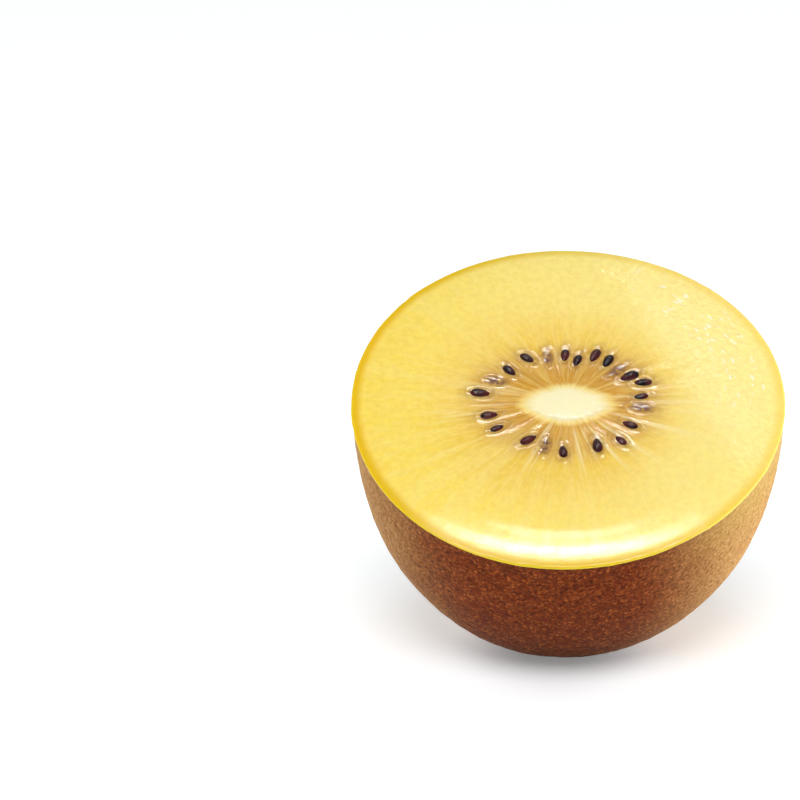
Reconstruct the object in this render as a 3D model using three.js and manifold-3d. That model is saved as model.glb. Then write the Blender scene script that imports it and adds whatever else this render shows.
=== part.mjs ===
// Half of a golden kiwi fruit, cut across its middle and lying on its rounded side.
// Millimetres, +Z up. The origin is on the surface it lies on, under the middle of its flat resting spot.
// The cut face looks up and towards -Y, and the stem end points down and towards +Y.
import * as THREE from "three";
import { mergeVertices } from "three/addons/utils/BufferGeometryUtils.js";
import Module from "manifold-3d";

const wasm = await Module();
wasm.setup();

// The fruit's outside
const WIDTH = 54; // across the cut face, along X
const NARROW = 52.4; // across the cut face, the other way
const DEPTH = 35.6; // from the cut face to the stem end
const FULLNESS = 2.4; // power of the side profile: 2 is an ellipse, more is fuller
const LOBE = 0.008; // how far the outline swells and shrinks as a share of its radius
const LOBES = 3;
const LOBE_ANGLE = THREE.MathUtils.degToRad(18); // where the first swelling is
const TILT = THREE.MathUtils.degToRad(35); // how far the cut face leans from level
const REST_DEPTH = 0.7; // how far the resting spot is pressed in

// Skin, flesh and the gap between neighbours
const SKIN = 0.8;
const GAP = 0.3;
const SKIN_EDGE_DROP = 0.5; // the flesh stands this far proud of the skin's cut edge

// The stem end: a shallow dimple round the dry scar
const DIMPLE_DEPTH = 0.9;
const DIMPLE_RADIUS = 4.5;
const SCAR_HEIGHT = 0.7;
const SCAR_RADIUS = 1.7;

// The cut face
const LIP = 1.6; // radius of the flesh's rounded rim
const SEED_RING_WIDTH = 20.4; // across the middles of the seeds
const SEED_RING_NARROW = 15.2;
const LOCULES = 24; // seed chambers round the core
const RIB = 0.22; // height of the walls between them
const TROUGH = 0.4; // how far the soft seed ring has sunk
const RING_SPREAD = 0.42; // width of that ring as a share of its radius

// The core
const CORE_WIDTH = 12.2;
const CORE_NARROW = 6.6;
const CORE_POINT = 1.6; // power of the core's outline: under 2 the ends come to a point
const CORE_DEPTH = 27;
const CORE_DOME = 0.35; // the firm core stands this far proud
const CORE_SHOULDER = 0.93; // where its edge turns over, as a share of its outline
const CORE_SHOULDER_HEIGHT = 0.7; // as a share of the dome's height
const CORE_CROWN = 0.5; // where its top is level, as a share of its outline
const POCKET_TOP = 2; // the pocket's cutter reaches this far over the face

// Seeds
const SEEDS = 22;
const SEED_LENGTH = 2.5;
const SEED_BREADTH = 1.45;
const SEED_THICKNESS = 1.1;
const SEED_TAPER = 0.45; // how much wider the outer end is than the middle
const SEED_RISE = 0.12; // how far a seed's middle lies above the flesh round it
const SEED_CROWDING = 0.3; // how strongly the seeds crowd towards one side
const CROWDED_SIDE = THREE.MathUtils.degToRad(70);
const SMALLEST_SEED = 0.86;
const SEED_SCATTER = { step: 0.9, reach: 0.2, turn: 0.7, size: 0.22 }; // full widths of the draws
const SEED_DRAW = 334479; // starts the seeded draw

// Facets
const SKIN_SIDES = 64;
const FLESH_SIDES = 96;
const CORE_SIDES = 36;
const SEED_SIDES = 8;
const SEED_RINGS = 5;
const OUTER_RINGS = 14;
const INNER_RINGS = 9;
const FACE_RINGS = 11;
const FACE_CROWDING = 1.25; // over 1 draws the face's rings in towards the seeds
const CORE_RINGS = 6;
const LIP_STEPS = 3;
const STEM_RINGS = [0, 0.9, 1.5, 2.1, 3.0]; // radii of the rings round the stem scar
const MERGE_WITHIN = 1e-3; // vertices nearer than this are one
const LEVEL_WITHIN = 1e-6; // a vertex this near the cut plane lies on it

// Colours
const SKIN_COLOUR = 0x8a5526;
const FLESH_COLOUR = 0xe9c84e;
const CORE_COLOUR = 0xf6ecc0;

const RADIUS = WIDTH / 2;
const NARROW_RADIUS = NARROW / 2;

// A repeatable draw of numbers from 0 to 1, by multiplying and keeping the remainder.
const DRAW_FACTOR = 16807;
const DRAW_LIMIT = 2147483647;

function drawFrom(start) {
  let state = start;
  return () => {
    state = (state * DRAW_FACTOR) % DRAW_LIMIT;
    return state / DRAW_LIMIT;
  };
}

// The outline of the cut face at an angle, as a share of the widest radius.
function outlineShare(angle) {
  const oval = 1 / Math.hypot(Math.cos(angle), (Math.sin(angle) * RADIUS) / NARROW_RADIUS);
  return oval * (1 + LOBE * Math.cos(LOBES * (angle - LOBE_ANGLE)));
}

// The side profile's reach at a share of the depth, as a share too. It works both ways round.
function profileShare(share) {
  return Math.pow(1 - Math.pow(share, FULLNESS), 1 / FULLNESS);
}

// How far the stem end's dimple and scar lift the outside towards the cut face.
function stemRelief(across, scarHeight) {
  const dimple = DIMPLE_DEPTH * Math.exp(-Math.pow(across / DIMPLE_RADIUS, 2));
  const scar = scarHeight * Math.exp(-Math.pow(across / SCAR_RADIUS, 4));
  return dimple - scar;
}

// Points of the side profile from the stem end up to a height, for a form inset from the outside.
// Only the outside itself has the scar.
function sideProfile(inset, rings, top) {
  const radius = RADIUS - inset;
  const depth = DEPTH - inset;
  const scarHeight = inset === 0 ? SCAR_HEIGHT : 0;
  const stemRings = inset === 0 ? STEM_RINGS : [0];
  const points = stemRings.map((across) => new THREE.Vector2(across, -depth * profileShare(across / radius)));
  const last = Math.asin(-top / depth);
  for (let i = 1; i <= rings; i++) {
    const share = Math.sin(THREE.MathUtils.lerp(Math.PI / 2, last, i / rings));
    points.push(new THREE.Vector2(radius * profileShare(share), -depth * share));
  }
  for (const point of points) point.y += stemRelief(point.x, scarHeight);
  return points;
}

// Turns a profile round the fruit's axis, which then stands along Z, and gives it an outline.
function turned(profile, sides, share) {
  const geometry = new THREE.LatheGeometry(profile, sides);
  geometry.rotateX(Math.PI / 2);
  const position = geometry.getAttribute("position");
  for (let i = 0; i < position.count; i++) {
    const x = position.getX(i);
    const y = position.getY(i);
    const scale = share(Math.atan2(y, x));
    position.setXY(i, x * scale, y * scale);
  }
  return geometry;
}

// Where the cut face's centre lies when the tilted fruit rests on its pressed spot.
function faceCentre() {
  const power = FULLNESS / (FULLNESS - 1);
  const side = NARROW_RADIUS * Math.sin(TILT);
  const end = DEPTH * Math.cos(TILT);
  const reach = Math.pow(Math.pow(side, power) + Math.pow(end, power), 1 / power);
  const along = NARROW_RADIUS * Math.pow(side / reach, power - 1);
  const down = DEPTH * Math.pow(end / reach, power - 1);
  const touchY = -along * Math.cos(TILT) + down * Math.sin(TILT);
  return new THREE.Vector3(0, -touchY, reach - REST_DEPTH);
}

const placing = new THREE.Matrix4().makeTranslation(faceCentre());
placing.multiply(new THREE.Matrix4().makeRotationX(TILT));
const lifting = placing.clone().invert();

// Presses the vertices that lie under a height above the floor up to that height.
function pressed(geometry, height) {
  const position = geometry.getAttribute("position");
  const point = new THREE.Vector3();
  for (let i = 0; i < position.count; i++) {
    point.fromBufferAttribute(position, i).applyMatrix4(placing);
    if (point.z >= height) continue;
    point.setZ(height).applyMatrix4(lifting);
    position.setXYZ(i, point.x, point.y, point.z);
  }
  return geometry;
}

// A closed geometry as a solid, with the slivers at its poles left out.
function solidOf(geometry) {
  geometry.deleteAttribute("normal");
  geometry.deleteAttribute("uv");
  const merged = mergeVertices(geometry, MERGE_WITHIN);
  const corners = merged.index.array;
  const kept = [];
  for (let i = 0; i < corners.length; i += 3) {
    const [a, b, c] = [corners[i], corners[i + 1], corners[i + 2]];
    if (a !== b && b !== c && c !== a) kept.push(a, b, c);
  }
  const vertProperties = merged.getAttribute("position").array;
  return new wasm.Manifold(new wasm.Mesh({ numProp: 3, vertProperties, triVerts: new Uint32Array(kept) }));
}

function geometryOf(solid) {
  const { vertProperties, triVerts } = solid.getMesh();
  const geometry = new THREE.BufferGeometry();
  geometry.setAttribute("position", new THREE.BufferAttribute(vertProperties, 3));
  geometry.setIndex(new THREE.BufferAttribute(triVerts, 1));
  geometry.computeVertexNormals();
  return geometry;
}

// A block that fills the space under the floor, in the fruit's own frame.
function floorBlock() {
  const size = 4 * WIDTH;
  const slab = new THREE.BoxGeometry(size, size, size);
  slab.translate(0, 0, -size / 2).applyMatrix4(lifting);
  return solidOf(slab);
}

// The skin's outside, closed level with its cut edge.
function outsideSolid() {
  const side = sideProfile(0, OUTER_RINGS, -SKIN_EDGE_DROP);
  const lid = new THREE.Vector2(0, -SKIN_EDGE_DROP);
  return solidOf(turned([...side, lid], SKIN_SIDES, outlineShare));
}

// What the skin holds: the same form inset by the skin, and carried on over the cut edge.
function insideSolid() {
  const side = sideProfile(SKIN, INNER_RINGS, 0);
  const rim = side[side.length - 1].x;
  const lid = [new THREE.Vector2(rim, SKIN), new THREE.Vector2(0, SKIN)];
  return solidOf(pressed(turned([...side, ...lid], SKIN_SIDES, outlineShare), SKIN));
}

// The skin: a thin bowl with the stem scar at its end, cut level where it rests.
function skinSolid() {
  return outsideSolid().subtract(insideSolid()).subtract(floorBlock());
}

// How far a point of the cut face is out along the seed ring: 1 on the ring.
function ringShare(x, y) {
  return Math.hypot((2 * x) / SEED_RING_WIDTH, (2 * y) / SEED_RING_NARROW);
}

// Height of the cut face: the sunken seed ring and the walls between its chambers.
function faceRelief(x, y) {
  const out = (ringShare(x, y) - 1) / RING_SPREAD;
  const ring = Math.exp(-out * out);
  const walls = Math.cos(LOCULES * Math.atan2(y, x));
  return ring * (RIB * walls - TROUGH);
}

// The core's outline at an angle, in millimetres from its middle.
function coreRadius(angle) {
  const across = Math.pow(Math.abs(Math.cos(angle)) / (CORE_WIDTH / 2), CORE_POINT);
  const up = Math.pow(Math.abs(Math.sin(angle)) / (CORE_NARROW / 2), CORE_POINT);
  return Math.pow(across + up, -1 / CORE_POINT);
}

// The core, a spindle that narrows towards the stem, grown by a margin to cut its own pocket.
function coreSolid(margin, top) {
  const profile = [new THREE.Vector2(0, -(CORE_DEPTH + margin))];
  for (let i = 1; i <= CORE_RINGS; i++) {
    const turn = (Math.PI / 2) * (1 - i / CORE_RINGS);
    profile.push(new THREE.Vector2(Math.cos(turn), -(CORE_DEPTH + margin) * Math.sin(turn)));
  }
  profile.push(new THREE.Vector2(CORE_SHOULDER, CORE_SHOULDER_HEIGHT * top));
  profile.push(new THREE.Vector2(CORE_CROWN, top));
  profile.push(new THREE.Vector2(0, top));
  return solidOf(turned(profile, CORE_SIDES, (angle) => coreRadius(angle) + margin));
}

// One seed: a flattened drop with its narrow end towards the core.
function seedGeometry() {
  const seed = new THREE.SphereGeometry(0.5, SEED_SIDES, SEED_RINGS).rotateZ(Math.PI / 2);
  const position = seed.getAttribute("position");
  for (let i = 0; i < position.count; i++) {
    const taper = 1 + SEED_TAPER * position.getX(i);
    position.setY(i, position.getY(i) * taper);
    position.setZ(i, position.getZ(i) * taper);
  }
  return seed.scale(SEED_LENGTH, SEED_BREADTH, SEED_THICKNESS);
}

// Places of the seeds round the ring, with a seeded draw for their step, reach, turn and size.
function seedPlaces() {
  const draw = drawFrom(SEED_DRAW);
  const scatter = (width) => width * (draw() - 0.5);
  return Array.from({ length: SEEDS }, (_, i) => {
    const step = ((i + 0.5 + scatter(SEED_SCATTER.step)) / SEEDS) * 2 * Math.PI;
    const angle = step - SEED_CROWDING * Math.sin(step - CROWDED_SIDE);
    const reach = 1 + scatter(SEED_SCATTER.reach);
    const turn = scatter(SEED_SCATTER.turn);
    const size = SMALLEST_SEED + SEED_SCATTER.size * draw();
    const x = (SEED_RING_WIDTH / 2) * reach * Math.cos(angle);
    const y = (SEED_RING_NARROW / 2) * reach * Math.sin(angle);
    return { x, y, heading: Math.atan2(y, x) + turn, size };
  });
}

// The flesh's profile: its side, its rounded rim and its face, in rings that crowd towards the seeds.
function fleshProfile(inset) {
  const side = sideProfile(inset, INNER_RINGS, -LIP);
  const flat = side[side.length - 1].x - LIP;
  const lip = Array.from({ length: LIP_STEPS }, (_, i) => {
    const turn = ((i + 1) / LIP_STEPS) * (Math.PI / 2);
    return new THREE.Vector2(flat + LIP * Math.cos(turn), LIP * (Math.sin(turn) - 1));
  });
  const face = Array.from({ length: FACE_RINGS }, (_, i) => {
    const share = Math.pow(1 - (i + 1) / FACE_RINGS, FACE_CROWDING);
    return new THREE.Vector2(flat * share, 0);
  });
  return [...side, ...lip, ...face];
}

// The flesh, with its rounded rim, its seeds and a pocket for the core.
function fleshSolid() {
  const inset = SKIN + GAP;
  const geometry = pressed(turned(fleshProfile(inset), FLESH_SIDES, outlineShare), inset);
  const position = geometry.getAttribute("position");
  for (let i = 0; i < position.count; i++) {
    if (position.getZ(i) < -LEVEL_WITHIN) continue;
    position.setZ(i, faceRelief(position.getX(i), position.getY(i)));
  }
  let solid = solidOf(geometry);
  for (const { x, y, heading, size } of seedPlaces()) {
    const seed = seedGeometry().scale(size, size, size).rotateZ(heading);
    seed.translate(x, y, faceRelief(x, y) + SEED_RISE);
    solid = solid.add(solidOf(seed));
  }
  return solid.subtract(coreSolid(GAP, POCKET_TOP));
}

function piece(name, solid, color, roughness) {
  const material = new THREE.MeshStandardMaterial({ color, roughness, metalness: 0 });
  const mesh = new THREE.Mesh(geometryOf(solid), material);
  mesh.name = name;
  return mesh;
}

const fruit = new THREE.Group();
fruit.name = "golden_kiwi_half";
fruit.position.copy(faceCentre());
fruit.rotation.x = TILT;
fruit.add(piece("skin", skinSolid(), SKIN_COLOUR, 0.75));
fruit.add(piece("flesh", fleshSolid(), FLESH_COLOUR, 0.35));
fruit.add(piece("core", coreSolid(0, CORE_DOME), CORE_COLOUR, 0.5));

const part = new THREE.Group();
part.add(fruit);

export default part;
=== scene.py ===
# %% [markdown]
# # Half of a golden kiwi fruit
# A kiwi fruit was cut across its middle, and one half lies on its rounded side. Four things show: thin
# brown skin, golden flesh, a cream core and a ring of dark seeds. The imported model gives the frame, in
# metres with +Z up. Every piece below is made in that frame, so that nothing has to be fitted later.

# %% Load the frame
import math

import bpy
import numpy as np
from mathutils import Matrix, Vector, noise


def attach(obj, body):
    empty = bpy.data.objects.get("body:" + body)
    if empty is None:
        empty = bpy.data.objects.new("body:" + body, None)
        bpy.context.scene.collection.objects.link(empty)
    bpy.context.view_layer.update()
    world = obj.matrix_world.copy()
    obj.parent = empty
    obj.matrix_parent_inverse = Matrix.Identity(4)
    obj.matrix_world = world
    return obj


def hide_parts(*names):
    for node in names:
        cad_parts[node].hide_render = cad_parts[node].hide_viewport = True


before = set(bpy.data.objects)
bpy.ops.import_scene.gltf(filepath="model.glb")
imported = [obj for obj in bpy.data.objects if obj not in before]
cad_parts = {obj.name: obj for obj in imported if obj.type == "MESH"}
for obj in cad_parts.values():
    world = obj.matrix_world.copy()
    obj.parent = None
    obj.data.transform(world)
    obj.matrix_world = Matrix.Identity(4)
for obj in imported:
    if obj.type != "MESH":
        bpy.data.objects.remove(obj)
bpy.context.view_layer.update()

# %% [markdown]
# ## The fruit's sizes
# A few driving sizes shape the whole half. The outline of the cut is nearly round with three faint lobes,
# and the side profile is a superellipse, a little fuller than an ellipse. These are the sizes of the real
# fruit, so the pieces agree with the solids that carry them.

# %% Sizes
MM = 0.001
RADIUS = 27.0 * MM  # half the width of the cut, along X
NARROW_RADIUS = 26.2 * MM  # half its width the other way
DEPTH = 35.6 * MM  # from the cut to the stem end
FULLNESS = 2.4  # power of the side profile: 2 is an ellipse
LOBE = 0.008  # how far the lobes stand out, as a share of the radius
LOBES = 3
LOBE_ANGLE = math.radians(18)
TILT = math.radians(35)  # how far the cut leans from level
REST_DEPTH = 0.7 * MM  # how far the resting spot is pressed in


def outline_share(angle):
    """The outline of the cut at an angle, as a share of the widest radius."""
    oval = 1 / np.hypot(np.cos(angle), np.sin(angle) * RADIUS / NARROW_RADIUS)
    return oval * (1 + LOBE * np.cos(LOBES * (angle - LOBE_ANGLE)))


def face_centre():
    """Where the middle of the cut lies when the tilted fruit rests on its pressed spot."""
    power = FULLNESS / (FULLNESS - 1)
    side = NARROW_RADIUS * math.sin(TILT)
    end = DEPTH * math.cos(TILT)
    reach = (side**power + end**power) ** (1 / power)
    along = NARROW_RADIUS * (side / reach) ** (power - 1)
    down = DEPTH * (end / reach) ** (power - 1)
    return Vector((0, along * math.cos(TILT) - down * math.sin(TILT), reach - REST_DEPTH))


FACE = face_centre()
PLACING = Matrix.Translation(FACE) @ Matrix.Rotation(TILT, 4, "X")
print("middle of the cut in mm", [round(v / MM, 2) for v in FACE])

# %% [markdown]
# ## The camera
# The cut is seen from a little above the table, from far off with a long lens, so the perspective is weak.
# The camera looks at the middle of the cut and is then turned a little to the left, which moves the fruit
# to its place right of the middle. A turn keeps the lens centred, so other views need no correction.

# %% Camera
CAMERA_DISTANCE = 600 * MM
CAMERA_ELEVATION = math.radians(14)
LENS = 216.5  # mm
SENSOR = 36.0  # mm
PICTURE = 800  # pixels along each side
FACE_PIXEL = (566.8, 401.3)  # where the middle of the cut shows

back = Vector((0, -math.cos(CAMERA_ELEVATION), math.sin(CAMERA_ELEVATION)))
pixels_per_radian = LENS / SENSOR * PICTURE
turn_left = math.atan((FACE_PIXEL[0] - PICTURE / 2) / pixels_per_radian)
turn_up = math.atan((FACE_PIXEL[1] - PICTURE / 2) / pixels_per_radian)

camera_data = bpy.data.cameras.new("camera")
camera_data.lens = LENS
camera_data.sensor_width = SENSOR
camera_data.clip_start = 10 * MM
camera_data.clip_end = 10.0
camera = bpy.data.objects.new("camera", camera_data)
bpy.context.collection.objects.link(camera)
aim = (-back).to_track_quat("-Z", "Y").to_matrix().to_4x4()
aim = aim @ Matrix.Rotation(turn_left, 4, "Y") @ Matrix.Rotation(turn_up, 4, "X")
camera.matrix_world = Matrix.Translation(FACE + back * CAMERA_DISTANCE) @ aim
bpy.context.scene.camera = camera
print("camera at mm", [round(v / MM) for v in camera.location])

# %% [markdown]
# ## Helpers for shaping
# Each piece starts as a primitive, the skin is also cut in edit mode, and then each has its points moved to
# the form of the fruit by a formula. The fruit's axis stands along Z while a piece is made. At the end the
# piece is turned and moved to where the half lies, and that place is applied to its mesh.


# %% Shaping helpers
def deselect_all():
    if bpy.context.object and bpy.context.object.mode != "OBJECT":
        bpy.ops.object.mode_set(mode="OBJECT")
    bpy.ops.object.select_all(action="DESELECT")


def points_of(piece):
    points = np.empty(len(piece.data.vertices) * 3)
    piece.data.vertices.foreach_get("co", points)
    return points.reshape(-1, 3)


def move_points(piece, points):
    piece.data.vertices.foreach_set("co", points.ravel())
    piece.data.update()


def unit_sphere(name, sides, rings):
    """A sphere of radius 1 to shape, alone in the selection."""
    deselect_all()
    bpy.ops.mesh.primitive_uv_sphere_add(segments=sides, ring_count=rings, radius=1)
    piece = bpy.context.object
    piece.name = name
    piece.data.name = name
    return piece


def lay_down(piece):
    """Turns and moves a piece from the fruit's upright axis to where the half lies."""
    deselect_all()
    piece.select_set(True)
    bpy.context.view_layer.objects.active = piece
    piece.matrix_world = PLACING
    bpy.ops.object.transform_apply(location=True, rotation=True, scale=True)


def finish_piece(piece, slot, *nodes):
    """Smooths a piece, attaches it to the root body and hides the model's parts that it stands for; its slot
    is not used.
    """
    deselect_all()
    piece.select_set(True)
    bpy.context.view_layer.objects.active = piece
    bpy.ops.object.shade_smooth()
    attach(piece, "root")
    if nodes:
        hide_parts(*nodes)
    print(piece.name, len(piece.data.polygons), "faces")


def fruit_side(points):
    """Radius, height and angle on the fruit's side for points of a unit sphere's lower half."""
    x, y, z = points.T
    across = np.hypot(x, y)
    reach = (across**FULLNESS + np.abs(z) ** FULLNESS) ** (-1 / FULLNESS)
    angle = np.arctan2(y, x)
    radius = RADIUS * reach * across * outline_share(angle)
    height = DEPTH * reach * z
    return radius, height, angle


# %% [markdown]
# ## The skin
# Kiwi skin is a thin dry shell that follows the flesh. The open bowl is the lower half of a sphere, cut
# level with bisect and moved to the fruit's form. Its stem end gets a shallow dimple with a dry scar, and
# faint dents make it grown and not turned. Solidify then gives the wall, inwards, so the outside stays.

# %% Skin shape
SKIN_SIDES = 420
SKIN_RINGS = 206
SKIN_WALL = 0.35 * MM
SKIN_EDGE_DROP = 0.60 * MM  # how far under the cut the skin ends, where the wet rim laps over it
SKIN_EDGE_RAGGED = 0.05 * MM
SKIN_EDGE_BAND = 0.2 * MM  # how far down the edge is ragged
SKIN_EDGE_GRAIN = 0.9 * MM
DIMPLE_DEPTH = 0.9 * MM
DIMPLE_RADIUS = 4.5 * MM
SCAR_HEIGHT = 0.7 * MM
SCAR_RADIUS = 1.7 * MM
SCAR_PIT = 0.35 * MM
SCAR_PIT_RADIUS = 0.6 * MM
DENT_DEPTH = 0.10 * MM
DENT_SIZE = 7.0 * MM
PORE_DEPTH = 0.07 * MM
PORE_SIZE = 1.1 * MM
EVEN_BAND = 3 * MM  # the dents fade out over this height under the cut


def stem_relief(across):
    """How far the dimple and the scar lift the stem end towards the cut."""
    dimple = DIMPLE_DEPTH * np.exp(-((across / DIMPLE_RADIUS) ** 2))
    scar = SCAR_HEIGHT * np.exp(-((across / SCAR_RADIUS) ** 4))
    pit = SCAR_PIT * np.exp(-((across / SCAR_PIT_RADIUS) ** 2))
    return dimple - scar + pit


def noise_at(points, size, seed=0.0):
    """Smooth noise from -1 to 1 at each point, with lumps of about that size. The seed shifts it."""
    shift = Vector((seed, seed, seed))
    return np.array([noise.noise(Vector(p) / size + shift) for p in points])


skin = unit_sphere("skin_peel", SKIN_SIDES, SKIN_RINGS)
bpy.ops.object.mode_set(mode="EDIT")
bpy.ops.mesh.select_all(action="SELECT")
bpy.ops.mesh.bisect(plane_co=(0, 0, -SKIN_EDGE_DROP / DEPTH), plane_no=(0, 0, 1), clear_outer=True)
bpy.ops.object.mode_set(mode="OBJECT")

radius, height, angle = fruit_side(points_of(skin))
shaped = np.stack([radius * np.cos(angle), radius * np.sin(angle), height + stem_relief(radius)], axis=1)
uneven = DENT_DEPTH * noise_at(shaped, DENT_SIZE) + PORE_DEPTH * noise_at(shaped, PORE_SIZE, 7.0)
inward = np.clip(-height / EVEN_BAND, 0, 1)
outward = shaped / np.linalg.norm(shaped, axis=1)[:, None]
shaped += outward * (uneven * inward - DENT_DEPTH * inward)[:, None]
at_edge = height > -(SKIN_EDGE_DROP + SKIN_EDGE_BAND)
shaped[at_edge, 2] += SKIN_EDGE_RAGGED * noise_at(shaped, SKIN_EDGE_GRAIN, 3.0)[at_edge]
move_points(skin, shaped)
lay_down(skin)
world = points_of(skin)
world[:, 2] = np.maximum(world[:, 2], 0)
move_points(skin, world)

wall = skin.modifiers.new("wall", "SOLIDIFY")
wall.thickness = SKIN_WALL
wall.offset = -1
bpy.ops.object.modifier_apply(modifier="wall")
finish_piece(skin, "skin", "skin")

# %% [markdown]
# ## Places of the seeds
# The seeds lie in an oval ring round the core, one to a chamber, a little crowded towards the far side. A
# rule with a seeded draw places them, the same rule and draw as the solids have, so each seed sits where
# its own bump is. The places come before the flesh, because the flesh is pressed in round every seed.

# %% Seed places
SEED_RING_WIDTH = 20.4 * MM
SEED_RING_NARROW = 15.2 * MM
SEEDS = 22
SEED_CROWDING = 0.3
CROWDED_SIDE = math.radians(70)
SMALLEST_SEED = 0.86
STEP_SCATTER, REACH_SCATTER, TURN_SCATTER, SIZE_SCATTER = 0.9, 0.2, 0.7, 0.22
SEED_DRAW = 334479
DRAW_FACTOR = 16807
DRAW_LIMIT = 2147483647


def drawing(state):
    """A repeatable draw of numbers from 0 to 1."""
    while True:
        state = state * DRAW_FACTOR % DRAW_LIMIT
        yield state / DRAW_LIMIT


def seed_places():
    """x, y, heading and size of every seed on the cut."""
    draw = drawing(SEED_DRAW)
    places = []
    for i in range(SEEDS):
        step = (i + 0.5 + STEP_SCATTER * (next(draw) - 0.5)) / SEEDS * 2 * math.pi
        angle = step - SEED_CROWDING * math.sin(step - CROWDED_SIDE)
        reach = 1 + REACH_SCATTER * (next(draw) - 0.5)
        turn = TURN_SCATTER * (next(draw) - 0.5)
        size = SMALLEST_SEED + SIZE_SCATTER * next(draw)
        x = SEED_RING_WIDTH / 2 * reach * math.cos(angle)
        y = SEED_RING_NARROW / 2 * reach * math.sin(angle)
        places.append((x, y, math.atan2(y, x) + turn, size))
    return places


PLACES = seed_places()
print(len(PLACES), "seeds, the first at mm", [round(v / MM, 1) for v in PLACES[0][:2]])

# %% [markdown]
# ## The flesh
# The cut is not flat: the soft ring round the seeds has sunk, thin walls stand between the chambers, and
# the wet rim rolls over to the skin. One sphere is pressed into that form. Its top rings become the pocket
# of the core, the face and the rim, and its few lowest rings the hidden side, so detail goes where it shows.

# %% Flesh shape
FLESH_SIDES = 512
FLESH_RINGS = 168
POCKET_RINGS = 14
FACE_RINGS = 108
LIP_RINGS = 22
ROUND_RINGS = 8
TUCK_RINGS = 4
LIP_WIDTH = 6.5 * MM  # how far in from the skin the face starts to sink
LIP_DROP = 0.45 * MM
ROUND = 0.22 * MM  # the last of the rim is rounded by this radius
TUCK_DROP = 0.15 * MM  # where the flesh has gone in behind the skin
RIM_LAP = 0.05 * MM  # the wet rim laps over the skin by at least this much
RIM_UNEVEN = 0.10 * MM
RIM_WAVE, RIM_RIPPLE = 0.16, 0.045  # sizes of its lumps, as shares of the radius
RIPPLE_SHARE = 0.6
FLESH_INSET = SKIN_WALL + 0.05 * MM
CORE_WIDTH = 12.2 * MM
CORE_NARROW = 6.6 * MM
CORE_POINT = 1.6  # under 2 draws the ends of the core to a point
CORE_DEPTH = 27 * MM
CORE_NECK = 0.85  # under its cap the core is this share as wide, so the cap laps over the flesh
POCKET_NECK = CORE_NECK + 0.02  # and its pocket is a little wider
FACE_CROWDING = 1.25  # over 1 draws the rings of the face towards the core
LOCULES = 24  # chambers round the core
RIB = 0.02 * MM  # height of the walls between them
TROUGH = 0.10 * MM  # how far the seed ring has sunk
RING_SPREAD = 0.42
SEED_LENGTH = 2.5 * MM
SEED_BREADTH = 1.35 * MM
SEED_THICKNESS = 1.1 * MM
SEED_RISE = -0.14 * MM
SEED_SINK = 0.3 * MM  # how much lower the deepest of the open seeds lies
COVERED_SINK = 0.75 * MM  # and a seed that the flesh still covers
COVERED_FROM = 0.78  # seeds whose depth is over this are covered
GOLDEN_SHARE = 0.618
SOCKET_DEPTH = 0.10 * MM
SOCKET_RIM = 0.05 * MM
SOCKET_RIM_AT, SOCKET_RIM_SPREAD = 1.45, 0.3  # in shares of a seed's outline
# Where the painted shade round each seed starts and how far it fades, in shares of a seed's outline.
PAINTED_SHADE_FROM, PAINTED_SHADE_REACH = 0.9, 0.9
FIBRES = 90
FIBRE_HEIGHT = 0.004 * MM
FIBRES_AT, FIBRES_SPREAD = 1.3, 0.8  # in shares of the seed ring
UNDER_GAP = 0.1 * MM  # between the flesh and the skin over the resting spot


def core_radius(angle):
    across = (np.abs(np.cos(angle)) / (CORE_WIDTH / 2)) ** CORE_POINT
    up = (np.abs(np.sin(angle)) / (CORE_NARROW / 2)) ** CORE_POINT
    return (across + up) ** (-1 / CORE_POINT)


def ring_share(x, y):
    """How far out along the seed ring a point of the cut is: 1 on the ring."""
    return np.hypot(2 * x / SEED_RING_WIDTH, 2 * y / SEED_RING_NARROW)


def seed_distances(x, y):
    """Distance to each seed's middle, as a share of the seed's own outline."""
    found = []
    for seed_x, seed_y, heading, size in PLACES:
        along = (x - seed_x) * math.cos(heading) + (y - seed_y) * math.sin(heading)
        aside = (y - seed_y) * math.cos(heading) - (x - seed_x) * math.sin(heading)
        found.append(np.hypot(2 * along / (SEED_LENGTH * size), 2 * aside / (SEED_BREADTH * size)))
    return np.array(found)


def seed_depth(number):
    """How deep that seed lies, from 0 to 1. The golden share spreads the depths evenly."""
    return number * GOLDEN_SHARE % 1


def face_relief(x, y):
    """Height of the cut: the sunken ring, the walls, fine fibres and a socket round each seed."""
    angle = np.arctan2(y, x)
    share = ring_share(x, y)
    ring = np.exp(-(((share - 1) / RING_SPREAD) ** 2))
    wide = np.exp(-(((share - FIBRES_AT) / FIBRES_SPREAD) ** 2))
    fibres = np.sin(FIBRES * angle + 3 * np.sin(5 * angle)) * np.sin(37 * angle + 2.0)
    nearest = seed_distances(x, y).min(axis=0)
    raised = SOCKET_RIM * np.exp(-(((nearest - SOCKET_RIM_AT) / SOCKET_RIM_SPREAD) ** 2))
    socket = raised - SOCKET_DEPTH * np.exp(-(nearest**2))
    return ring * (RIB * np.cos(LOCULES * angle) - TROUGH) + FIBRE_HEIGHT * fibres * wide + socket


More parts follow.
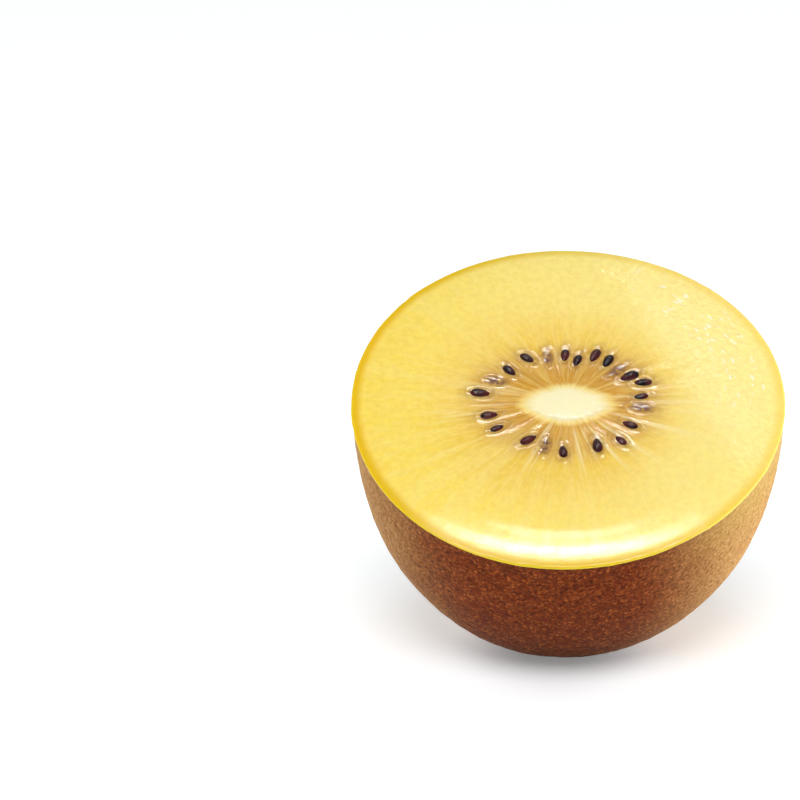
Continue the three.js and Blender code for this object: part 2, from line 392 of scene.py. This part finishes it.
flesh = unit_sphere("flesh_body", FLESH_SIDES, FLESH_RINGS)
start = points_of(flesh)
angle = np.arctan2(start[:, 1], start[:, 0])
ring = np.arccos(np.clip(start[:, 2], -1, 1)) / math.pi * FLESH_RINGS
outline = outline_share(angle)
around = np.stack([np.cos(angle), np.sin(angle), 0 * angle], axis=1)
uneven = noise_at(around, RIM_WAVE, 11.0) + RIPPLE_SHARE * noise_at(around, RIM_RIPPLE, 12.0)
rim = RADIUS * outline + RIM_LAP + RIM_UNEVEN * np.maximum(uneven, 0)
behind_skin = RADIUS * outline - FLESH_INSET
shoulder = rim - ROUND
flat = rim - LIP_WIDTH * outline
pocket = core_radius(angle) * POCKET_NECK
lip_ring = POCKET_RINGS + FACE_RINGS
round_ring = lip_ring + LIP_RINGS
tuck_ring = round_ring + ROUND_RINGS
side_ring = tuck_ring + TUCK_RINGS

turn = np.clip(ring / POCKET_RINGS, 0, 1) * math.pi / 2
pocket_radius = pocket * np.sin(turn)
pocket_height = -CORE_DEPTH * np.cos(turn)
out = np.clip((ring - POCKET_RINGS) / FACE_RINGS, 0, 1) ** FACE_CROWDING
face_radius = pocket + (flat - pocket) * out
face_height = face_relief(face_radius * np.cos(angle), face_radius * np.sin(angle))
down_lip = np.clip((ring - lip_ring) / LIP_RINGS, 0, 1)
lip_radius = flat + (shoulder - flat) * down_lip
flat_height = face_relief(flat * np.cos(angle), flat * np.sin(angle))
lip_height = flat_height * (1 - down_lip) ** 3 - LIP_DROP * down_lip**2
roll = np.clip((ring - round_ring) / ROUND_RINGS, 0, 1) * math.pi / 2
round_radius = shoulder + ROUND * np.sin(roll)
round_height = -LIP_DROP - ROUND * (1 - np.cos(roll))
rim_height = -LIP_DROP - ROUND
tuck = np.clip((ring - tuck_ring) / TUCK_RINGS, 0, 1)
tuck_radius = rim + (behind_skin - rim) * tuck
tuck_height = rim_height - TUCK_DROP * tuck
down = np.clip((ring - side_ring) / (FLESH_RINGS - side_ring), 0, 1) * math.pi / 2
side_radius = behind_skin * np.cos(down) ** (2 / FULLNESS)
side_depth = DEPTH + rim_height - TUCK_DROP - FLESH_INSET - DIMPLE_DEPTH
side_height = rim_height - TUCK_DROP - side_depth * np.sin(down) ** (2 / FULLNESS)

ends = (POCKET_RINGS, lip_ring, round_ring, tuck_ring, side_ring)
parts = [ring < end for end in ends]
radius = np.select(parts, [pocket_radius, face_radius, lip_radius, round_radius, tuck_radius], side_radius)
height = np.select(parts, [pocket_height, face_height, lip_height, round_height, tuck_height], side_height)
move_points(flesh, np.stack([radius * np.cos(angle), radius * np.sin(angle), height], axis=1))

# Painted shade darkens the flesh right round each seed, which the finish reads from the mesh.
# A seed that lies deeper than the cut shows through the flesh as a dull spot.
on_cut = height > -2 * MM
distances = seed_distances(radius * np.cos(angle), radius * np.sin(angle))
covered = np.array([seed_depth(number) > COVERED_FROM for number in range(1, SEEDS + 1)])
painted_shade_mask = np.exp(-((np.maximum(distances.min(axis=0) - PAINTED_SHADE_FROM, 0) / PAINTED_SHADE_REACH) ** 2)) * on_cut
spot = np.exp(-(distances[covered].min(axis=0) ** 4)) * on_cut
for name, values in (("painted_seed_shade", painted_shade_mask), ("covered_seed", spot)):
    attribute = flesh.data.attributes.new(name, "FLOAT", "POINT")
    attribute.data.foreach_set("value", values.astype(np.float32))
print(int(covered.sum()), "seeds lie under the cut")
lay_down(flesh)
world = points_of(flesh)
world[:, 2] = np.maximum(world[:, 2], SKIN_WALL + UNDER_GAP)
move_points(flesh, world)
finish_piece(flesh, "flesh", "flesh")

# %% [markdown]
# ## The core
# The core is a firm cream spindle that the knife cut to a lens. A sphere gives both: its upper half is
# flattened to the low dome that shows, and its lower half is drawn down to the spindle inside the flesh.

# %% Core shape
CORE_DOME = 0.07 * MM
CORE_EDGE_SINK = 0.015 * MM
CORE_SIDES = 160
CORE_RINGS = 64
CAP_EDGE = -0.01  # under this height of the unit sphere the spindle starts
CAP_THICKNESS = 0.1 * MM
CORE_END_GAP = 0.3 * MM

core = unit_sphere("core_pith", CORE_SIDES, CORE_RINGS)
start = points_of(core)
angle = np.arctan2(start[:, 1], start[:, 0])
across = np.hypot(start[:, 0], start[:, 1])
in_flesh = start[:, 2] < CAP_EDGE
neck = np.where(in_flesh, CORE_NECK, 1.0)
radius = core_radius(angle) * across * neck
cap = face_relief(radius * np.cos(angle), radius * np.sin(angle))
cap = cap + CORE_DOME * (1 - across**2) - CORE_EDGE_SINK
spindle = (CORE_DEPTH - CORE_END_GAP) * start[:, 2] - CAP_THICKNESS
height = np.where(in_flesh, spindle, cap)
move_points(core, np.stack([radius * np.cos(angle), radius * np.sin(angle), height], axis=1))
lay_down(core)
finish_piece(core, "core", "core")

# %% [markdown]
# ## The seeds
# A kiwi seed is a flattened drop, blunt outside and narrow towards the core. One is modelled from a
# sphere, and each of the others is a copy with its own mesh, turned and sized by the draw. They stand
# partly sunk in their sockets, which is where the wet flesh closes round them.

# %% Seed shape
SEED_TAPER = 0.45
SEED_SIDES = 24
SEED_RINGS = 14


def seed_shape(size):
    """Points of a seed along X, with its narrow end towards the core."""
    points = points_of(pattern) * 0.5
    taper = 1 + SEED_TAPER * points[:, 0]
    points[:, 1] *= taper
    points[:, 2] *= taper
    return points * np.array([SEED_LENGTH, SEED_BREADTH, SEED_THICKNESS]) * size


pattern = unit_sphere("seed", SEED_SIDES, SEED_RINGS)
bpy.ops.transform.rotate(value=math.pi / 2, orient_axis="Y", center_override=(0, 0, 0))
bpy.ops.object.transform_apply(location=True, rotation=True, scale=True)
seeds = []
for number, (x, y, heading, size) in enumerate(PLACES, 1):
    seed = bpy.data.objects.new(f"seed_{number:02}", pattern.data.copy())
    seed.data.name = seed.name
    bpy.context.collection.objects.link(seed)
    shape = seed_shape(size)
    spin = np.array([[math.cos(heading), -math.sin(heading)], [math.sin(heading), math.cos(heading)]])
    shape[:, :2] = shape[:, :2] @ spin.T
    sink = COVERED_SINK if seed_depth(number) > COVERED_FROM else SEED_SINK * seed_depth(number)
    ring_height = -TROUGH + SEED_RISE - sink
    move_points(seed, shape + np.array([x, y, ring_height]))
    lay_down(seed)
    seeds.append(seed)
bpy.data.objects.remove(pattern)
for seed in seeds:
    finish_piece(seed, "seed")

# %% [markdown]
# ## Helpers for materials
# The patterns follow the fruit's own axis, which leans in the scene. A Mapping node undoes that lean, so
# every material reads millimetres from the middle of the cut: x and y across it, z along the axis.


# %% Material helpers
def linear(red, green, blue):
    """A colour in the 0 to 255 of pictures as the linear values that shaders use."""
    shares = [v / 255 for v in (red, green, blue)]
    return (*[s / 12.92 if s <= 0.04045 else ((s + 0.055) / 1.055) ** 2.4 for s in shares], 1.0)


def new_material(name):
    material = bpy.data.materials.new(name)
    material.use_nodes = True
    tree = material.node_tree
    return material, tree, tree.nodes["Principled BSDF"]


def set_input(tree, socket, value):
    if isinstance(value, bpy.types.NodeSocket):
        tree.links.new(value, socket)
    else:
        socket.default_value = value


def maths(tree, operation, *values):
    made = tree.nodes.new("ShaderNodeMath")
    made.operation = operation
    for socket, value in zip(made.inputs, values):
        set_input(tree, socket, value)
    return made.outputs[0]


def times(tree, *shares):
    """All the shares multiplied."""
    product = shares[0]
    for share in shares[1:]:
        product = maths(tree, "MULTIPLY", product, share)
    return product


def vector_maths(tree, operation, *values):
    made = tree.nodes.new("ShaderNodeVectorMath")
    made.operation = operation
    for socket, value in zip(made.inputs, values):
        set_input(tree, socket, value)
    return made


def combined(tree, **values):
    made = tree.nodes.new("ShaderNodeCombineXYZ")
    for name, value in values.items():
        set_input(tree, made.inputs[name], value)
    return made.outputs["Vector"]


def split_axes(tree, place):
    """The X, Y and Z of a place."""
    made = tree.nodes.new("ShaderNodeSeparateXYZ")
    tree.links.new(place, made.inputs["Vector"])
    return made.outputs


def fruit_millimetres(tree):
    """Position in millimetres on the fruit's own axes."""
    place = tree.nodes.new("ShaderNodeTexCoord")
    mapping = tree.nodes.new("ShaderNodeMapping")
    mapping.vector_type = "TEXTURE"
    mapping.inputs["Location"].default_value = FACE
    mapping.inputs["Rotation"].default_value = (TILT, 0, 0)
    mapping.inputs["Scale"].default_value = (MM, MM, MM)
    tree.links.new(place.outputs["Object"], mapping.inputs["Vector"])
    return mapping.outputs["Vector"]


def grain(tree, where, scale, detail=2.0, roughness=0.5):
    made = tree.nodes.new("ShaderNodeTexNoise")
    set_input(tree, made.inputs["Vector"], where)
    made.inputs["Scale"].default_value = scale
    made.inputs["Detail"].default_value = detail
    made.inputs["Roughness"].default_value = roughness
    return made.outputs["Fac"]


def between(tree, value, low, high):
    """0 below low, 1 above high, and smooth between them."""
    made = tree.nodes.new("ShaderNodeMapRange")
    made.interpolation_type = "SMOOTHSTEP"
    for name, number in (("Value", value), ("From Min", low), ("From Max", high)):
        set_input(tree, made.inputs[name], number)
    return made.outputs["Result"]


def blended(tree, share, first, second):
    made = tree.nodes.new("ShaderNodeMix")
    made.data_type = "RGBA"
    set_input(tree, made.inputs["Factor"], share)
    set_input(tree, made.inputs[6], first)
    set_input(tree, made.inputs[7], second)
    return made.outputs[2]


def bumped(tree, shader, height, distance, strength):
    """A bump on the surface and on the coat over it, which has a normal of its own."""
    made = tree.nodes.new("ShaderNodeBump")
    made.inputs["Strength"].default_value = strength
    made.inputs["Distance"].default_value = distance
    tree.links.new(height, made.inputs["Height"])
    tree.links.new(made.outputs["Normal"], shader.inputs["Normal"])
    tree.links.new(made.outputs["Normal"], shader.inputs["Coat Normal"])


def give_finish(piece, finish):
    piece.data.materials.clear()
    piece.data.materials.append(finish)


# %% [markdown]
# ## Skin finish
# The skin is covered in fine grains, half a millimetre across and less, each with a shade of its own. They
# are the cells of a texture, shifted by noise so that they don't look laid out. It is red brown in front,
# with painted shade that darkens it below, and it goes over to tan at the sides and behind, which is partly
# the skin's own tan and partly painted light from the side lamps. Its faint down catches light at the edges:
# a sheen.

# %% Skin material
DARK_BROWN = linear(68, 25, 5)
RED_BROWN = linear(122, 49, 12)
ORANGE_GRAIN = linear(206, 114, 52)
DARK_TAN = linear(158, 104, 52)
TAN = linear(204, 160, 94)
TAN_GRAIN = linear(232, 194, 132)
OLIVE_TAN = linear(198, 170, 88)
SCAR_BROWN = linear(62, 38, 22)
GRAIN_SIZE = 0.46  # mm
GRAIN_SHIFT = 1.6  # how fast the shift of the grains changes, per mm


def grains_of(tree, where, size):
    """How near each point is to the middle of its grain, and a shade for each grain."""
    cells = tree.nodes.new("ShaderNodeTexVoronoi")
    cells.inputs["Scale"].default_value = 1 / size
    tree.links.new(where, cells.inputs["Vector"])
    shade = tree.nodes.new("ShaderNodeSeparateColor")
    tree.links.new(cells.outputs["Color"], shade.inputs["Color"])
    return between(tree, cells.outputs["Distance"], 0.75, 0.05), shade.outputs["Red"]


skin_finish, tree, shader = new_material("kiwi_skin")
where = fruit_millimetres(tree)
split = split_axes(tree, where)
shift = tree.nodes.new("ShaderNodeTexNoise")
shift.inputs["Scale"].default_value = GRAIN_SHIFT
tree.links.new(where, shift.inputs["Vector"])
shifted = vector_maths(tree, "ADD", where, shift.outputs["Color"]).outputs["Vector"]
middles, shades = grains_of(tree, shifted, GRAIN_SIZE)
patchy = maths(tree, "MULTIPLY_ADD", grain(tree, where, 0.8, 3.0), 0.9, 0.1)
grain_share = times(tree, middles, shades, patchy)
mottled = between(tree, grain(tree, where, 2.2, 3.0, 0.6), 0.32, 0.66)

brown = blended(tree, mottled, DARK_BROWN, RED_BROWN)
# Painted shade: the skin is darkened towards the bottom.
painted_shade_below = times(tree, between(tree, split["Z"], -8.0, -28.0), 0.9)
brown = blended(tree, painted_shade_below, brown, DARK_BROWN)
brown = blended(tree, grain_share, brown, ORANGE_GRAIN)
tan = blended(tree, mottled, DARK_TAN, TAN)
under_rim = times(tree, between(tree, split["Z"], -11.0, -1.0), between(tree, split["X"], 10.0, 22.0))
tan = blended(tree, times(tree, under_rim, 0.45), tan, OLIVE_TAN)
tan = blended(tree, grain_share, tan, TAN_GRAIN)

# Brown in front goes over to tan at the sides and behind, sooner on the right, along a wavy border.
# The tan is partly the skin's own colour and partly painted light, strongest on the right where the side lamp
# is strongest.
aside = maths(tree, "MULTIPLY_ADD", split["X"], 0.2, maths(tree, "ABSOLUTE", split["X"]))
aside = maths(tree, "MULTIPLY_ADD", split["Y"], 0.5, aside)
wavy = maths(tree, "MULTIPLY_ADD", grain(tree, where, 0.12, 2.0), 8.0, -4.0)
colour = blended(tree, between(tree, maths(tree, "ADD", aside, wavy), -3.0, 24.0), brown, tan)

flat = combined(tree, X=split["X"], Y=split["Y"])
from_axis = vector_maths(tree, "LENGTH", flat).outputs["Value"]
scar = times(tree, between(tree, split["Z"], -32.0, -34.5), between(tree, from_axis, 2.6, 1.4))
tree.links.new(blended(tree, scar, colour, SCAR_BROWN), shader.inputs["Base Color"])
shader.inputs["Roughness"].default_value = 0.7
shader.inputs["Specular IOR Level"].default_value = 0.08
shader.inputs["Sheen Weight"].default_value = 0.12
shader.inputs["Sheen Roughness"].default_value = 0.2
shader.inputs["Sheen Tint"].default_value = linear(240, 200, 150)
bumped(tree, shader, times(tree, middles, shades), 0.1 * MM, 0.6)
give_finish(skin, skin_finish)

# %% [markdown]
# ## Colour of the cut
# Kiwi flesh lets light in, and colour runs outwards in zones: cream in the core, amber round it, greyer
# amber at the seeds, then pale and at last full golden yellow, with a stronger yellow line under the skin.
# On top of that, painted light makes the right and far side more pale.
# Fibres run out like rays. They are noise on a place that changes fast round the core and slowly outwards,
# so they have no seam. The core and the flesh both use this, and so no line shows where they meet.

# %% Colour of the cut
CREAM_SHIFT = -0.45  # mm that the cream lies off the middle
CREAM = linear(254, 240, 194)
CORE_EDGE = linear(246, 216, 124)
AMBER = linear(206, 146, 18)
RING_AMBER = linear(216, 168, 70)
PALE_GOLD = linear(240, 202, 72)
GOLD = linear(254, 222, 90)
PALE_FIBRE_AND_LIGHT = linear(254, 232, 142)
RIM_GOLD = linear(232, 188, 2)
FIBRE_WHITE = linear(254, 238, 180)
FIBRE_DARK = linear(178, 120, 26)
PAINTED_SHADE_BROWN = linear(146, 98, 48)
COVERED_BROWN = linear(112, 72, 62)
PAINTED_GLINT_WHITE = linear(255, 251, 226)


def rays(tree, flat, turns, run, detail=1.0):
    """Noise that changes fast round the core and slowly outwards."""
    heading = vector_maths(tree, "NORMALIZE", flat).outputs["Vector"]
    round_it = vector_maths(tree, "MULTIPLY", heading, (turns, turns, 0)).outputs["Vector"]
    reach = vector_maths(tree, "LENGTH", flat).outputs["Value"]
    place = vector_maths(tree, "ADD", round_it, combined(tree, Z=maths(tree, "MULTIPLY", reach, run)))
    return grain(tree, place.outputs["Vector"], 1.0, detail)


def core_share(tree, split):
    """0 in the middle of the core's cream and 1 on the core's outline."""
    found = []
    for axis, middle, half in (("X", 0.0, CORE_WIDTH / 2), ("Y", CREAM_SHIFT, CORE_NARROW / 2)):
        aside = maths(tree, "ABSOLUTE", maths(tree, "SUBTRACT", split[axis], middle))
        found.append(maths(tree, "POWER", maths(tree, "DIVIDE", aside, half / MM), CORE_POINT))
    return maths(tree, "ADD", *found)


def cut_colour(tree, where, split):
    """The colour of the cut from the middle of the core to the skin."""
    flat = combined(tree, X=split["X"], Y=split["Y"])
    to_ring = (2 * MM / SEED_RING_WIDTH, 2 * MM / SEED_RING_NARROW, 0)
    on_ring = vector_maths(tree, "MULTIPLY", flat, to_ring).outputs["Vector"]
    share = vector_maths(tree, "LENGTH", on_ring).outputs["Value"]
    reach = vector_maths(tree, "LENGTH", flat).outputs["Value"]
    wavy = maths(tree, "MULTIPLY_ADD", rays(tree, flat, 7.0, 0.03), 0.5, maths(tree, "SUBTRACT", share, 0.25))

    # Zones from the core outwards, with painted light that makes the right and far side more pale.
    colour = blended(tree, between(tree, wavy, 0.6, 0.95), AMBER, RING_AMBER)
    colour = blended(tree, between(tree, wavy, 1.0, 1.5), colour, PALE_GOLD)
    colour = blended(tree, between(tree, reach, 12.0, 21.0), colour, GOLD)
    sunny = maths(tree, "MULTIPLY_ADD", split["Y"], 0.5, split["X"])
    painted_light_paler = times(tree, between(tree, sunny, -24.0, 18.0), between(tree, reach, 9.0, 17.0), 0.8)
    colour = blended(tree, painted_light_paler, colour, PALE_FIBRE_AND_LIGHT)

    # Broad bands, cloudy spots and fine threads.
    broad = between(tree, rays(tree, flat, 11.0, 0.05, 2.0), 0.42, 0.7)
    colour = blended(tree, times(tree, broad, 0.30), colour, PALE_FIBRE_AND_LIGHT)
    mottle = between(tree, grain(tree, where, 1.1, 4.0, 0.65), 0.38, 0.62)
    colour = blended(tree, times(tree, mottle, 0.12), colour, AMBER)
    threads = between(tree, rays(tree, flat, 34.0, 0.6, 3.0), 0.42, 0.66)
    colour = blended(tree, times(tree, threads, 0.24), colour, PALE_FIBRE_AND_LIGHT)

    # Dark rays near the core, and light ones that run out past the seeds, stronger on the near side.
    near_core = times(tree, between(tree, share, 0.3, 0.6), between(tree, share, 1.3, 0.8))
    dark_rays = between(tree, rays(tree, flat, 12.0, 0.06, 2.0), 0.5, 0.68)
    colour = blended(tree, times(tree, dark_rays, near_core, 0.4), colour, FIBRE_DARK)
    past_seeds = times(tree, between(tree, share, 0.3, 0.7), between(tree, share, 2.0, 0.9))
    light_rays = between(tree, rays(tree, flat, 13.0, 0.04), 0.56, 0.68)
    nearer = maths(tree, "MULTIPLY_ADD", between(tree, split["Y"], 6.0, -5.0), 0.5, 0.15)
    colour = blended(tree, times(tree, light_rays, past_seeds, nearer), colour, FIBRE_WHITE)

    # The cream of the core, streaked at its edge, and the stronger yellow under the skin.
    streaks = maths(tree, "MULTIPLY_ADD", rays(tree, flat, 12.0, 0.1, 2.0), 0.5, -0.25)
    to_core = maths(tree, "ADD", core_share(tree, split), streaks)
    colour = blended(tree, between(tree, to_core, 1.25, 0.85), colour, CORE_EDGE)
    colour = blended(tree, between(tree, to_core, 1.0, 0.45), colour, CREAM)
    near_side = maths(tree, "MULTIPLY_ADD", between(tree, sunny, 20.0, -8.0), 0.5, 0.5)
    rim_share = times(tree, between(tree, split["Z"], -0.26, -0.42), near_side)
    return blended(tree, rim_share, colour, RIM_GOLD)


def wet_and_deep(shader):
    """Wet flesh: light goes in and spreads, and a film of juice shines."""
    shader.inputs["Roughness"].default_value = 0.34
    shader.inputs["Subsurface Weight"].default_value = 0.5
    shader.inputs["Subsurface Radius"].default_value = (1.0, 0.7, 0.25)
    shader.inputs["Subsurface Scale"].default_value = 1.6 * MM
    shader.inputs["Coat Weight"].default_value = 1.0
    shader.inputs["Coat Roughness"].default_value = 0.12
    shader.inputs["Specular IOR Level"].default_value = 0.1


# %% [markdown]
# ## Flesh finish
# The flesh adds painted shade, soft and brown, round each seed and a dull spot over each covered one, which
# it reads from the mesh, and painted glints, white specks near the far right rim. A bump wrinkles that side
# most, so the front rim stays smooth and mirrors the light in one clean crescent.

# %% Flesh material
flesh_finish, tree, shader = new_material("kiwi_flesh")
where = fruit_millimetres(tree)
split = split_axes(tree, where)
painted_shade_mask = tree.nodes.new("ShaderNodeAttribute")
painted_shade_mask.attribute_name = "painted_seed_shade"
cloudy = between(tree, grain(tree, where, 1.5, 2.0), 0.3, 0.7)
painted_shade_share = times(tree, painted_shade_mask.outputs["Fac"], maths(tree, "MULTIPLY_ADD", cloudy, 0.45, 0.2))
# Painted shade: a soft brown darkening round each seed, made patchy by cloudy noise.
colour = blended(tree, painted_shade_share, cut_colour(tree, where, split), PAINTED_SHADE_BROWN)
covered_seed = tree.nodes.new("ShaderNodeAttribute")
covered_seed.attribute_name = "covered_seed"
dull = between(tree, grain(tree, where, 2.2, 2.0), 0.25, 0.6)
colour = blended(tree, times(tree, covered_seed.outputs["Fac"], dull), colour, COVERED_BROWN)

flat = combined(tree, X=split["X"], Y=split["Y"])
reach = vector_maths(tree, "LENGTH", flat).outputs["Value"]
# Painted glints: white specks in the colour near the far right rim, where the wet cut catches the light.
painted_glints = between(tree, rays(tree, flat, 15.0, 1.9, 2.0), 0.60, 0.70)
near_rim = times(tree, between(tree, reach, 17.0, 22.0), between(tree, reach, 25.6, 24.4))
far_right = times(tree, between(tree, split["X"], 4.0, 16.0), between(tree, split["Y"], -5.0, 4.0))
colour = blended(tree, times(tree, painted_glints, near_rim, far_right, 0.8), colour, PAINTED_GLINT_WHITE)
tree.links.new(colour, shader.inputs["Base Color"])
wet_and_deep(shader)

far_side = maths(tree, "MULTIPLY_ADD", split["Y"], 0.5, split["X"])
wrinkled = maths(tree, "MULTIPLY_ADD", between(tree, far_side, 12.0, 24.0), 0.92, 0.08)
bumped(tree, shader, times(tree, grain(tree, where, 1.2, 3.0, 0.6), wrinkled), 0.2 * MM, 0.9)
give_finish(flesh, flesh_finish)

# %% [markdown]
# ## Core finish
# The core has the colour of the cut too, so cream fades into amber over its last millimetre.

# %% Core material
core_finish, tree, shader = new_material("kiwi_core")
where = fruit_millimetres(tree)
split = split_axes(tree, where)
tree.links.new(cut_colour(tree, where, split), shader.inputs["Base Color"])
wet_and_deep(shader)
bumped(tree, shader, grain(tree, where, 1.2, 3.0, 0.6), 0.016 * MM, 0.9)
give_finish(core, core_finish)

# %% [markdown]
# ## Seed finish
# Seeds are almost black with a purple brown cast, and a film of juice makes them shine.

# %% Seed material
SEED_BLACK = linear(16, 5, 8)
SEED_PURPLE = linear(74, 22, 24)

seed_finish, tree, shader = new_material("kiwi_seed")
where = fruit_millimetres(tree)
blotches = between(tree, grain(tree, where, 0.5, 1.0), 0.35, 0.65)
tree.links.new(blended(tree, blotches, SEED_BLACK, SEED_PURPLE), shader.inputs["Base Color"])
shader.inputs["Roughness"].default_value = 0.5
shader.inputs["Specular IOR Level"].default_value = 0.1
shader.inputs["Coat Weight"].default_value = 0.9
shader.inputs["Coat Roughness"].default_value = 0.1
bumped(tree, shader, grain(tree, where, 3.5, 2.0), 0.12 * MM, 0.7)
for seed in seeds:
    give_finish(seed, seed_finish)

# %% [markdown]
# ## Floor
# The fruit lies on a plain white floor that glows a little, as a light table does, so shadows on it stay
# pale. The glow fades in an oval under the fruit: a painted contact shadow, deepest where the skin touches.

# %% Floor
FLOOR_GLOW = 0.34  # a light table's sheet is lit from below, so shadows on it stay pale
# The oval where the glow fades is a painted contact shadow.
CONTACT_SHADE = 0.26  # how much less it glows right where the fruit rests
CONTACT_ASIDE = -1.5 * MM  # the oval of less glow lies this far to the side
CONTACT_WIDTH = 8 * MM
CONTACT_DEPTH = 15 * MM
CONTACT_FROM, CONTACT_TO = 0.45, 1.75  # in shares of the oval, from least to full glow
FLOOR_SIZE = 8.0

deselect_all()
bpy.ops.mesh.primitive_plane_add(size=FLOOR_SIZE, location=(0, 0, 0))
floor = bpy.context.object
floor.name = "floor"
floor_finish, tree, shader = new_material("studio_floor")
shader.inputs["Base Color"].default_value = (0.80, 0.84, 0.86, 1)
shader.inputs["Roughness"].default_value = 0.9
shader.inputs["Emission Color"].default_value = (1, 1, 1, 1)
floor_place = tree.nodes.new("ShaderNodeTexCoord")
contact = tree.nodes.new("ShaderNodeMapping")
contact.vector_type = "TEXTURE"
contact.inputs["Location"].default_value = (CONTACT_ASIDE, 0, 0)
contact.inputs["Scale"].default_value = (CONTACT_WIDTH, CONTACT_DEPTH, 1)
tree.links.new(floor_place.outputs["Object"], contact.inputs["Vector"])
# Painted contact shadow: the glow is least inside the oval and full outside it.
reach = vector_maths(tree, "LENGTH", contact.outputs["Vector"]).outputs["Value"]
outside_painted_shadow = between(tree, reach, CONTACT_FROM, CONTACT_TO)
glow = maths(tree, "MULTIPLY_ADD", outside_painted_shadow, CONTACT_SHADE, FLOOR_GLOW - CONTACT_SHADE)
tree.links.new(glow, shader.inputs["Emission Strength"])
give_finish(floor, floor_finish)

# %% [markdown]
# ## Light
# A wide soft main light comes from the front, and two low boxes light the down at the sides. The wet rim
# rolls over towards the camera in front, so it mirrors what hangs nearly above: three ellipses, one within
# another, give the bright crescent with its soft ends, and a narrow strip gives the thin line by it. Two
# more lamps make the far rim and the seeds sparkle. Most of these light nothing and show in gloss alone.

# %% Lights
BACKDROP_LIGHT = 0.32  # from behind the fruit
ROOM_LIGHT = 0.11  # from the camera's side
BACKDROP_WHITE = 1.05  # the backdrop itself, as the camera sees it
MAIN_LIGHT = 2.35  # from the front, so the floor is lit right up to where the fruit rests
MAIN_TILT = math.radians(45)
MAIN_SOFTNESS = math.radians(30)

bpy.context.scene.view_settings.view_transform = "Standard"
world = bpy.data.worlds.new("studio")
world.use_nodes = True
tree = world.node_tree
direction = tree.nodes.new("ShaderNodeTexCoord")
along = split_axes(tree, direction.outputs["Generated"])
behind = between(tree, along["Y"], -0.6, 0.7)
room = maths(tree, "MULTIPLY_ADD", behind, BACKDROP_LIGHT - ROOM_LIGHT, ROOM_LIGHT)
seen = tree.nodes.new("ShaderNodeLightPath").outputs["Is Camera Ray"]
missing = maths(tree, "MULTIPLY", seen, maths(tree, "SUBTRACT", BACKDROP_WHITE, room))
tree.links.new(maths(tree, "ADD", room, missing), tree.nodes["Background"].inputs["Strength"])
tree.nodes["Background"].inputs["Color"].default_value = (1, 1, 1, 1)
bpy.context.scene.world = world


def soft_box(
    name, azimuth, elevation, distance, width, height, watts,
    shows=True, shades=True, lights=True, rounded=False,
):
    """An area light that faces the fruit. Azimuth 0 is the camera's side and 90 the right.

    Lengths are in metres. One that doesn't show is not mirrored in the gloss, one that doesn't shade casts
    no shadow, and one that doesn't light is seen in the gloss alone.
    """
    around, up = math.radians(azimuth), math.radians(elevation)
    towards = Vector((math.sin(around) * math.cos(up), -math.cos(around) * math.cos(up), math.sin(up)))
    data = bpy.data.lights.new(name, "AREA")
    data.shape = "ELLIPSE" if rounded else "RECTANGLE"
    data.size, data.size_y, data.energy = width, height, watts
    data.use_shadow = shades
    lamp = bpy.data.objects.new(name, data)
    bpy.context.collection.objects.link(lamp)
    lamp.location = FACE + towards * distance
    lamp.rotation_euler = (-towards).to_track_quat("-Z", "Y").to_euler()
    lamp.visible_glossy = shows
    lamp.visible_diffuse = lights
    return lamp


main_data = bpy.data.lights.new("main_light", "SUN")
main_data.energy = MAIN_LIGHT
main_data.angle = MAIN_SOFTNESS
main_light = bpy.data.objects.new("main_light", main_data)
bpy.context.collection.objects.link(main_light)
main_light.rotation_euler = (MAIN_TILT, 0, 0)
main_light.visible_glossy = False
soft_box("left_box", -100, 6, 0.6, 0.25, 0.16, 1.2, shows=False, shades=False)
soft_box("right_box", 98, 6, 0.6, 0.25, 0.16, 3.2, shows=False, shades=False)
soft_box("crescent_box", -2, 81.9, 0.7, 0.28, 0.068, 0.26, rounded=True)
soft_box("crescent_middle", -1, 81.9, 0.7, 0.22, 0.036, 0.34, lights=False, rounded=True)
soft_box("crescent_heart", -1, 81.9, 0.7, 0.14, 0.025, 0.24, lights=False, rounded=True)
soft_box("crescent_strip", 0, 88.6, 0.7, 0.075, 0.010, 0.09, lights=False, rounded=True)
soft_box("sparkle_box", 150, 74.3, 0.7, 0.09, 0.07, 0.25, lights=False, rounded=True)
soft_box("glint_box", -35, 62, 0.7, 0.14, 0.14, 0.9, lights=False, rounded=True)
